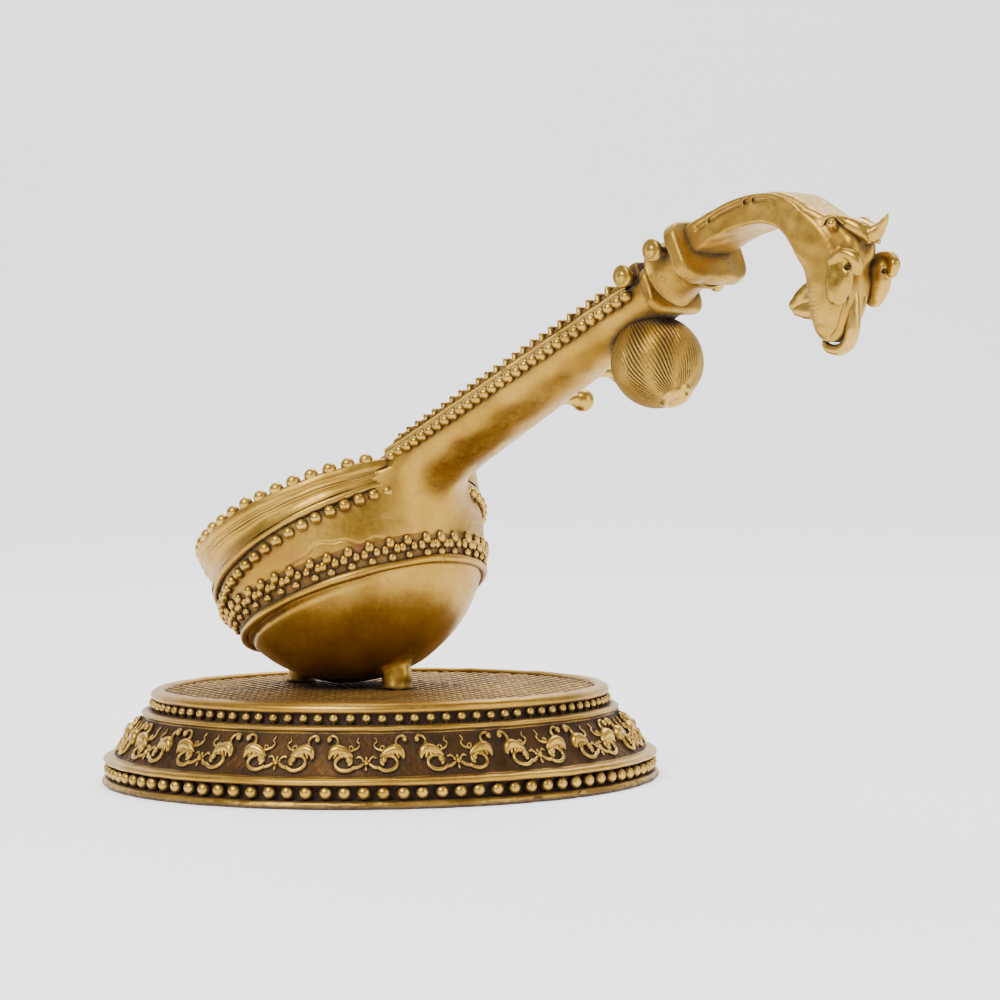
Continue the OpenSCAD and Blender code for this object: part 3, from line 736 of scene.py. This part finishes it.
def soundboard():
    profile = rounded([(0.01, 0.05), (6, 0.05), (12, 0.03), (18, 0.0), (21.6, -0.02), (22.15, -0.3), (22.1, -1.2), (0.01, -1.2)], 0.5)
    pts, faces = lathe(profile, 160)
    verts = on_instrument(wobble(pts.reshape(-1, 3), 0.05, 8))
    build("soundboard_plate", verts, faces, SATIN, ["soundboard"], "satin_brass", angle=50)


def bridge():
    low, high, step = (-6.5, -7, -0.4), (-1.5, 7, 4.2), 0.12
    g = space(low, high, step)
    bar = rod(g, (-4, -5.4, 2.3), (-4, 5.4, 2.3), 0.95, 0.95)
    for u in (-1, 1):
        bar = melt(bar, rod(g, (-4, u * 4.6, 0.2), (-4, u * 4.2, 2), 1.3, 0.8), 0.8)
    v, f = skin(bar, low, step)
    build("bridge_cast", on_instrument(v), f, SATIN, ["bridge"], "satin_brass", angle=0)


def rosettes():
    parts = []
    for u in (-1, 1):
        centre = np.array([7.0, u * 10.0, 0.15])
        ring = np.linspace(0, 2 * math.pi, 60, endpoint=False)
        circle = np.stack([np.cos(ring), np.sin(ring), 0 * ring], -1)
        loop = np.vstack([circle, circle[:1]])
        for r, thick in ((3.2, 0.28), (1.3, 0.22)):
            parts.append(tube(on_instrument(centre + loop * r), thick, 8))
        parts.append(ball(on_instrument(centre + [0, 0, 0.05]), 0.6, tipped([0, 0, 1], origin=0), 0.6))
        for k in range(8):
            a = k * math.pi / 4
            at = centre + [2.25 * math.cos(a), 2.25 * math.sin(a), 0.05]
            parts.append(ball(on_instrument(at), 0.5, tipped([0, 0, 1], origin=0), 0.6))
    verts, faces = join(parts)
    build("rosette_relief", verts, faces, PATINA, ["sound_rosettes"], "dark_patina", angle=0)


bowl()
rim()
rim_beads()
tail_band()
cord("upper_cord", PIPING_LIFT, PIPING_TIP, BOWL_R + 0.35, 0.62, ["upper_piping"], NECK_GAP * 1.05)
cord("lower_cord", -10.6, math.radians(-2), BOWL_R + 0.15, 0.72, ["lower_piping"], 0.0)
side_beads()
flower_band()
soundboard()
bridge()
rosettes()


# ---------------------------------------------------------------- neck
def neck_field(g):
    s, y, t = g
    half, deep = neck_half(s), neck_deep(s) - NECK_SIDE
    below = np.maximum(NECK_TOP - NECK_SIDE - t, 0)
    d = (np.sqrt((y / half) ** 2 + (below / deep) ** 2) - 1) * np.minimum(half, deep)
    d = keep(d, t - NECK_TOP, 0.3)
    return keep(keep(d, s - NECK_END, 0.3), 14 - s, 0.3)


def neck():
    low, high, step = (12.5, -15, -22), (81, 15, 1.5), 0.3
    g = space(low, high, step)
    d = neck_field(g)
    sphere = np.sqrt(g[0] ** 2 + g[1] ** 2 + (g[2] + BOARD_LIFT) ** 2) - (BOWL_R - 0.12)
    sphere = keep(sphere, g[2] + 2.2, 1.0)
    d = melt(d, sphere, 7.5)
    shoulder = np.clip((np.abs(g[1]) - neck_half(g[0]) - 0.1) / 1.2, 0, 1)
    d = keep(d, g[2] - NECK_TOP + 2.6 * shoulder, 0.3)
    root = g[0] < 13.4
    d = np.where(root, np.maximum(d, 0.5), d)
    v, f = skin(d, low, step)
    build("neck_casting", on_instrument(wobble(v, 0.05, 5)), f, SATIN, ["neck", "neck_root"], "satin_brass", angle=0)


def fingerboard():
    s = np.linspace(21.5, NUT_FROM, 160)
    section = [(-0.1, 0.8), (-0.1, 1.15), (-0.4, 1.22), (-0.28, 1.4), (-0.28, 1.62), (-0.6, 1.7), (-0.5, 1.85), (-0.9, 1.95)]
    rows = []
    for k in s:
        h = neck_half(k)
        side = [(h + dy, t) for dy, t in section]
        rows.append([(k, y, t) for y, t in side] + [(k, -y, t) for y, t in side[::-1]])
    n = len(rows[0])
    verts = wobble(np.array(rows).reshape(-1, 3), 0.04, 5)
    faces = strip(len(s), n, around=True) + [list(range(n)), list(range(len(verts) - n, len(verts)))[::-1]]
    build("finger_plate", on_instrument(verts), faces, TRIM, ["fingerboard"], "satin_brass", angle=35)


def fret_pieces():
    rails, bars = [], []
    for side in (-1, 1):
        s = np.linspace(23.5, NUT_FROM - 0.3, 120)
        path = np.stack([s, side * (neck_half(s) - 1.25), np.full(120, 2.15)], -1)
        rails.append(tube(on_instrument(wobble(path, 0.05, 4)), 0.5, 10))
    step = (NUT_FROM - 27) / 24
    for i in range(24):
        k = 25.5 + i * step
        h = neck_half(k) - 0.62
        rise = 2.55 + 0.55 * i / 23
        path = [(k, -h, 1.95), (k, -h + 0.15, rise - 0.2), (k, -h + 0.6, rise), (k, 0, rise + 0.05), (k, h - 0.6, rise),
                (k, h - 0.15, rise - 0.2), (k, h, 1.95)]
        bars.append(tube(on_instrument(wobble(curve(path, 24), 0.05, 3)), 0.42, 8, (0.9, 0, 0.4)))
    build("fret_rail_pair", *join(rails), PATINA, ["fret_rails"], "dark_patina", angle=0)
    build("fret_bars", *join(bars), TRIM, ["frets"], "dark_patina", angle=0)


def neck_beads():
    parts = []
    for i in range(30):
        k = 23.4 + (77.6 - 23.4) * i / 29
        for side in (-1, 1):
            at = on_instrument([k, side * (neck_half(k) + 0.45), -0.25 + rng.normal(0, 0.03)])
            parts.append(ball(at, 0.93 * rng.uniform(0.93, 1.0), (0, side, 0), 0.9, 16, 10))
    build("neck_bead_pair", *join(parts), TRIM, ["neck_bead_rows"], "polished_brass", angle=0)


def slab_field(g, low, high, ease):
    d = None
    for i in range(3):
        mid, half = (low[i] + high[i]) / 2, (high[i] - low[i]) / 2
        e = np.abs(g[i] - mid) - half
        d = e if d is None else keep(d, e, ease)
    return d


def nut():
    low, high, step = (76.5, -5.2, 0.2), (81.5, 5.2, 5.2), 0.12
    g = space(low, high, step)
    d = slab_field(g, (NUT_FROM, -4.2, NECK_TOP), (NECK_END, 4.2, 4.3), 0.9)
    v, f = skin(d, low, step)
    build("nut_block", on_instrument(wobble(v, 0.1, 3)), f, PATINA, ["nut"], "dark_patina", angle=0)


def plate_field(g, half_w, low, high, corner, start, end, ease):
    y = np.abs(g[1]) - (half_w - corner)
    mid, half = (low + high) / 2, (high - low) / 2
    t = np.abs(g[2] - mid) - (half - corner)
    d = np.hypot(np.maximum(y, 0), np.maximum(t, 0)) + np.minimum(np.maximum(y, t), 0) - corner
    return keep(d, np.abs(g[0] - (start + end) / 2) - (end - start) / 2, ease)


def collar():
    low, high, step = (79.5, -8.5, -6.5), (92, 8.5, 7), 0.16
    g = space(low, high, step)
    shapes = {
        "collar_ring_low": (plate_field(g, 5.6, -4.9, 2.5, 2.3, *FLANGE_A, 0.9), ["collar_lower"]),
        "collar_ring_high": (plate_field(g, 7.1, -4.1, 5.3, 3.1, *FLANGE_B, 0.8), ["collar_upper"]),
    }
    waist = np.hypot(g[1], g[2] - COLLAR_RISE) - (4.45 + 0.9 * np.clip(np.abs(g[0] - 85.3) / 3.2, 0, 1) ** 3)
    shapes["collar_middle"] = (keep(waist, np.abs(g[0] - 85.5) - 3.3, 0.3), ["collar_waist"])
    for name, (d, nodes) in shapes.items():
        v, f = skin(d, low, step)
        build(name, on_instrument(wobble(v, 0.09, 4)), f, PITTED, nodes, "pitted_brass", angle=0)


neck()
fingerboard()
fret_pieces()
neck_beads()
nut()
collar()

# ---------------------------------------------------------------- pegbox and head
NECK_OF_BEAST = [(-1.2, 0.6, 2.1, 4.2), (4.0, 2.75, 2.05, 4.2), (8.8, 4.15, 2.1, 4.2), (13.4, 4.45, 2.15, 4.2),
                 (16.7, 3.65, 2.25, 4.25), (19.2, 1.75, 2.35, 4.25), (21.4, -0.9, 2.75, 4.2), (23.1, -3.7, 3.15, 4.1),
                 (23.7, -6.6, 3.4, 4.0), (23.3, -9.6, 3.05, 3.6), (23.0, -12.0, 2.55, 3.0)]
SLOT = [(1.2, 2.35), (5.5, 4.3), (10.0, 5.5), (13.4, 5.7), (15.6, 5.15)]


def head_shell(g):
    edge = 0.5 + 1.9 * np.clip((0.5 - g[2]) / 6, 0, 1) * np.clip((g[0] - 19) / 2, 0, 1)
    shell = ribbon(g, NECK_OF_BEAST, edge)
    brow = ribbon(g, [(22.0, 0.9, 2.5, 3.8), (24.0, 0.1, 2.6, 3.6), (26.0, -1.7, 2.6, 3.0)], 1.8)
    return melt(shell, brow, 1.2)


def head_and_arch():
    low, high, step = (-3.2, -5.6, -17), (30, 5.6, 9), 0.16
    g = space(low, high, step)
    d = head_shell(g)
    for side in (-1, 1):
        # a long slot under the top edge, with bars left standing in it
        groove = path_rod(g, [(x, side * 4.2, z) for x, z in SLOT], [0.42] * 5)
        for x, z in ((3.0, 3.3), (9.6, 5.4), (11.3, 5.65)):
            groove = carve(groove, rod(g, (x, side * 4.2, z - 0.4), (x, side * 4.2, z + 0.4), 0.3, 0.3), 0.1)
        d = carve(d, groove, 0.12)
        # the slit between cheek and trunk
        slit = [(26.6, side * 1.9, -8.6), (26.1, side * 2.0, -11.2), (25.2, side * 2.0, -13.2), (23.6, side * 2.0, -14.8)]
        d = carve(d, path_rod(g, slit, [0.35, 0.5, 0.55, 0.6]), 0.25)
    d = carve(d, path_rod(g, [(28.4, 0, -1.5), (28.3, 0, -5.0), (28.0, 0, -8.5)], [1.0, 1.2, 0.9]), 0.8)
    # the upper flange closes the end at the collar
    d = np.maximum(d, -(g[0] * math.cos(TILT) + g[2] * math.sin(TILT)) - 1.0)
    v, f = skin(d, low, step)
    build("arch_and_head", on_head(wobble(v, 0.04, 3)), f, SATIN, ["pegbox_arch", "beast_head"], "satin_brass", angle=0)


def head_trim(name, low, high, step, field, nodes, material=None):
    g = space(low, high, step)
    v, f = skin(field(g), low, step)
    build(name, on_head(wobble(v, 0.03, 2)), f, material or POLISHED, nodes, "polished_brass", angle=0)


def cap_field(g):
    d = ribbon(g, [(12.6, 4.65, 2.2, 3.7), (16.4, 4.15, 2.4, 4.0), (20.0, 2.0, 2.55, 4.0), (22.4, 0.8, 2.5, 3.6)], 1.2)
    return keep(d, 12.9 - g[0], 0.6)


def crest_field(g):
    d = path_rod(g, [(25.0, 0, 1.2), (27.4, 0, 0.7), (29.6, 0, 0.1), (31.0, 0, 0.9), (31.8, 0, 1.8), (32.25, 0, 2.6)],
                 [1.5, 1.6, 1.3, 0.75, 0.45, 0.15], (1, 1.1, 1))
    for side in (-1, 1):
        leaf = path_rod(g, [(24.6, side * 2.2, 2.0), (26.6, side * 1.9, 1.7), (28.6, side * 1.4, 0.5), (29.8, side * 1.1, -1.0)],
                        [0.5, 0.95, 0.95, 0.35])
        d = melt(d, leaf, 0.25)
        for k in range(2):
            vein = [(25.4, side * (1.6 + k), 2.7 - k * 0.4), (27.6, side * (1.3 + 0.9 * k), 2.1 - k * 0.7),
                    (29.6, side * (0.7 + 0.6 * k), 0.9 - k * 0.9)]
            d = carve(d, path_rod(g, vein, [0.13, 0.17, 0.1]), 0.12)
    return d


def ears_field(g):
    d = None
    for side in (-1, 1):
        y = side * 4.1
        ear = path_rod(g, [(27.3, y, -4.5), (27.1, y * 1.02, -6.3), (26.6, y, -8.0)], [1.95, 2.2, 1.75], (1, 0.55, 1))
        dish = path_rod(g, [(27.6, y * 1.36, -4.4), (27.2, y * 1.38, -7.6)], [1.1, 1.0], (1, 0.45, 1))
        ear = carve(ear, dish, 0.5)
        curl = path_rod(
            g,
            [(26.0, y * 1.1, -3.6), (27.5, y * 1.12, -2.8), (29.0, y * 1.08, -2.9), (30.1, y, -3.9), (30.0, y * 0.95, -5.1)],
            [0.55, 0.75, 0.85, 0.9, 0.7],
        )
        ear = melt(ear, curl, 0.5)
        ear = carve(ear, rod(g, (28.95, y * 1.3, -4.35), (28.7, y * 0.9, -4.9), 0.45, 0.35), 0.25)
        d = ear if d is None else np.minimum(d, ear)
    return d


def eyes_field(g):
    d = None
    for side in (-1, 1):
        eye = rod(g, (25.6, side * 3.6, 1.2), (25.8, side * 4.1, 1.5), 0.75, 0.7)
        brow = path_rod(g, [(23.8, side * 3.7, 1.4), (24.6, side * 3.8, 2.4), (25.9, side * 3.5, 2.5), (26.9, side * 3.0, 1.5)],
                        [0.22, 0.32, 0.32, 0.2])
        both = melt(eye, brow, 0.2)
        d = both if d is None else np.minimum(d, both)
    return d


def trunk_field(g):
    points = [(25.8, 0, -7.4), (26.0, 0, -10.0), (26.0, 0, -12.6), (25.4, 0, -14.6), (23.8, 0, -15.6), (22.0, 0, -15.4), (21.0, 0, -14.6)]
    return path_rod(g, points, [1.0, 1.05, 1.05, 0.95, 0.85, 0.72, 0.55])


def leaf_field(g):
    d = path_rod(g, [(20.6, 0, -5.6), (17.6, 0, -7.3), (15.7, 0, -9.0)], [0.7, 1.0, 0.9], (1, 0.7, 1))
    d = melt(d, path_rod(g, [(21.0, 0, -7.6), (18.6, 0, -8.3), (16.8, 0, -9.0)], [1.5, 1.3, 1.0], (1, 0.5, 1)), 0.3)
    d = melt(d, path_rod(g, [(20.6, 0, -9.6), (18.4, 0, -10.0), (16.3, 0, -9.8)], [1.3, 1.2, 0.9], (1, 0.6, 1)), 0.3)
    for side in (-1, 1):
        crease = [(19.6, side * 0.75, -8.6), (17.6, side * 0.78, -8.9), (15.9, side * 0.68, -9.5)]
        d = carve(d, path_rod(g, crease, [0.16, 0.2, 0.14]), 0.15)
    return melt(d, rod(g, (20.9, 0, -12.2), (20.6, 0, -13.2), 0.5, 0.35), 0.3)


head_and_arch()
head_trim("cap_saddle", (11.5, -5, -3), (26, 5, 8.5), 0.15, cap_field, ["pegbox_cap"], SATIN)
head_trim("crest_and_horn", (22, -4.0, -3), (33, 4.0, 5), 0.10, crest_field, ["head_crest"])
head_trim("curled_ears", (23.4, -6.6, -11.5), (32, 6.6, -1), 0.12, ears_field, ["head_ears"])
head_trim("eyes_and_brows", (23, -5.4, -0.5), (28.5, 5.4, 3.6), 0.09, eyes_field, ["head_eyes"])
head_trim("curled_trunk", (21, -2, -17.2), (29, 2, -5.5), 0.11, trunk_field, ["head_trunk"])
head_trim("throat_fin", (13.8, -2, -14.5), (23, 2, -5), 0.11, leaf_field, ["throat_leaf"])
build("trunk_bead", *ball(on_head([22.2, 0, -13.7]), 0.62, segs=20, rings=14), POLISHED, ["trunk_ball"], "polished_brass", angle=0)


# ---------------------------------------------------------------- gourd and pegs
def gourd():
    ribs, rows = 72, 150
    lon = np.linspace(0, 2 * math.pi, ribs * 8, endpoint=False)
    lat = np.linspace(0.34, math.pi - 0.02, rows)
    la, lo = np.meshgrid(lat, lon, indexing="ij")
    drift = 0.006 * np.sin(la * 7 + lo * 3)
    rib = np.cos((lo + drift) * ribs)
    fade = np.clip((la - 0.34) / 0.25, 0, 1) * np.clip((math.pi - 0.25 - la) / 0.4, 0, 1)
    uneven = 0.7 + 0.5 * np.sin(lo * 7 + la * 5)
    r = GOURD_R - 0.1 - 0.3 * fade * uneven * np.clip(-rib, 0, 1) ** 1.5
    r += 0.35 * np.clip((la - 2.2) / 0.9, 0, 1)
    p = np.stack([r * np.sin(la) * np.cos(lo), r * np.sin(la) * np.sin(lo), r * np.cos(la)], -1).reshape(-1, 3)
    n = len(p)
    p = np.vstack([wobble(p, 0.04, 6), [[0, 0, GOURD_R - 0.75]], [[0, 0, -GOURD_R]]])
    faces = [f[::-1] for f in strip(rows, len(lon), around=True)]
    m = len(lon)
    faces += [[n, j, (j + 1) % m] for j in range(m)]
    faces += [[n + 1, n - m + (j + 1) % m, n - m + j] for j in range(m)]
    build("gourd_ribbed", on_gourd(p), [f[::-1] for f in faces], PITTED, ["gourd"], "pitted_brass", angle=0)
    z = GOURD_R - 0.45
    ring = rounded([(0.01, z), (1.3, z), (1.6, z + 0.4), (1.95, z + 0.55), (2.35, z + 0.35), (2.6, z - 0.15), (2.75, z - 0.6)], 0.12)
    pts, f = lathe(ring, 48)
    build("gourd_ring", on_gourd(wobble(pts.reshape(-1, 3), 0.04, 2)), f, POLISHED, ["gourd_end_ring"], "polished_brass", angle=0)


def turned_peg(name, side, profile):
    """A turned peg whose axis is y; the profile is (radius, distance from the mid plane)."""
    s, t = PEGS[name]
    pts, faces = lathe(rounded(profile, 0.08), 40)
    p = pts.reshape(-1, 3)
    local = np.stack([p[:, 0], p[:, 2] * side, p[:, 1]], -1) + [s, 0, t]
    if side > 0:
        faces = [f[::-1] for f in faces]
    build(name + "_turned", on_instrument(local), faces, POLISHED, [name], "polished_brass", body=name, angle=50)


def pegs():
    def disc(face):
        return [(0.01, 1.2), (0.7, 1.2), (0.73, 1.4), (0.73, face - 1.6), (1.1, face - 1.35), (1.55, face - 1.05),
                (1.7, face - 0.75), (1.7, face - 0.3), (1.5, face - 0.05), (1.0, face - 0.02), (0.75, face + 0.02),
                (0.6, face + 0.18), (0.3, face + 0.27), (0.01, face + 0.28)]

    def knob(centre, r):
        arc = [(r * math.sin(a), centre - r * math.cos(a)) for a in np.linspace(0.55, math.pi - 0.01, 22)]
        return [(0.01, 1.6), (0.7, 1.6), (0.73, 1.8), (0.73, centre - r - 1.0), (r * 0.62, centre - r + 0.05)] + arc

    turned_peg("peg_near_upper", -1, disc(7.4))
    turned_peg("peg_near_lower", -1, disc(7.1))
    turned_peg("peg_far_upper", 1, [(0.01, 1.2), (0.7, 1.2)] + knob(7.0, 1.1)[2:])
    turned_peg("peg_far_mid", 1, knob(12.2, 1.8))
    turned_peg("peg_far_low", 1, knob(12.2, 1.8))


gourd()
pegs()
for node in ("foot_screws", "screw_washers"):
    mesh = frame["nodes"][node].data
    mesh.materials.clear()
    mesh.materials.append(STEEL)


# ---------------------------------------------------------------- stage, light and camera
def pale():
    m = bpy.data.materials.new("pale_floor")
    m.use_nodes = True
    shader = next(n for n in m.node_tree.nodes if n.type == "BSDF_PRINCIPLED")
    shader.inputs["Base Color"].default_value = (0.86, 0.86, 0.86, 1)
    shader.inputs["Roughness"].default_value = 0.9
    shader.inputs["Emission Color"].default_value = (1, 1, 1, 1)
    shader.inputs["Emission Strength"].default_value = 1.1
    return m


def backdrop():
    """A pale floor that curves up behind the object."""
    away = np.array([-math.sin(VIEW_TURN), math.cos(VIEW_TURN)])
    across = np.array([math.cos(VIEW_TURN), math.sin(VIEW_TURN)])
    path = [(-1500, 0), (900, 0)] + [(900 + 500 * math.sin(a), 500 - 500 * math.cos(a)) for a in np.linspace(0.1, 1.55, 12)] + [(1400, 2200)]
    rows = [[(*(away * d + across * u), z - 0.02) for u in (-2200, 2200)] for d, z in path]
    mesh = bpy.data.meshes.new("backdrop")
    mesh.from_pydata((np.array(rows).reshape(-1, 3) * MM).tolist(), [], strip(len(rows), 2))
    mesh.shade_smooth()
    mesh.materials.append(pale())
    floor = bpy.data.objects.new("backdrop", mesh)
    bpy.context.scene.collection.objects.link(floor)


def light(name, turn, height, distance, size, power, aim=(20, 0, 45)):
    """A soft square light; turn is measured from the camera's side, positive to its right."""
    a = VIEW_TURN - math.pi / 2 + math.radians(turn)
    at = Vector((distance * math.cos(a), distance * math.sin(a), height)) * MM
    data = bpy.data.lights.new(name, "AREA")
    data.size = size * MM
    data.energy = power
    lamp = bpy.data.objects.new(name, data)
    bpy.context.scene.collection.objects.link(lamp)
    lamp.location = at
    lamp.rotation_euler = (Vector(aim) * MM - at).to_track_quat("-Z", "Y").to_euler()


def camera():
    distance, height = 470.0, 52.0
    away = Vector((-math.sin(VIEW_TURN), math.cos(VIEW_TURN), 0))
    right = Vector((math.cos(VIEW_TURN), math.sin(VIEW_TURN), 0))
    data = bpy.data.cameras.new("camera")
    data.sensor_width = 36
    data.lens = 104.3
    focal = data.lens / data.sensor_width
    # the plinth's axis stands left of the picture's centre, and the horizon just above it
    look = (away + right * (0.1215 / focal) - Vector((0, 0, 1)) * (0.045 / focal)).normalized()
    cam = bpy.data.objects.new("camera", data)
    bpy.context.scene.collection.objects.link(cam)
    cam.location = (-away * distance + Vector((0, 0, height))) * MM
    turn = look.to_track_quat("-Z", "Y").to_matrix().to_4x4()
    cam.matrix_world = Matrix.Translation(cam.location) @ turn @ Matrix.Rotation(math.radians(-0.6), 4, "Z")
    data.clip_start, data.clip_end = 0.01, 20
    bpy.context.scene.camera = cam


def world():
    w = bpy.data.worlds.new("studio")
    bpy.context.scene.world = w
    w.use_nodes = True
    w.node_tree.nodes["Background"].inputs[0].default_value = (1, 1, 1, 1)
    w.node_tree.nodes["Background"].inputs[1].default_value = 0.45


backdrop()
world()
light("key", -35, 700, 700, 500, 9)
light("fill", 60, 350, 900, 600, 3.5)
light("top", 160, 900, 500, 600, 6)
camera()
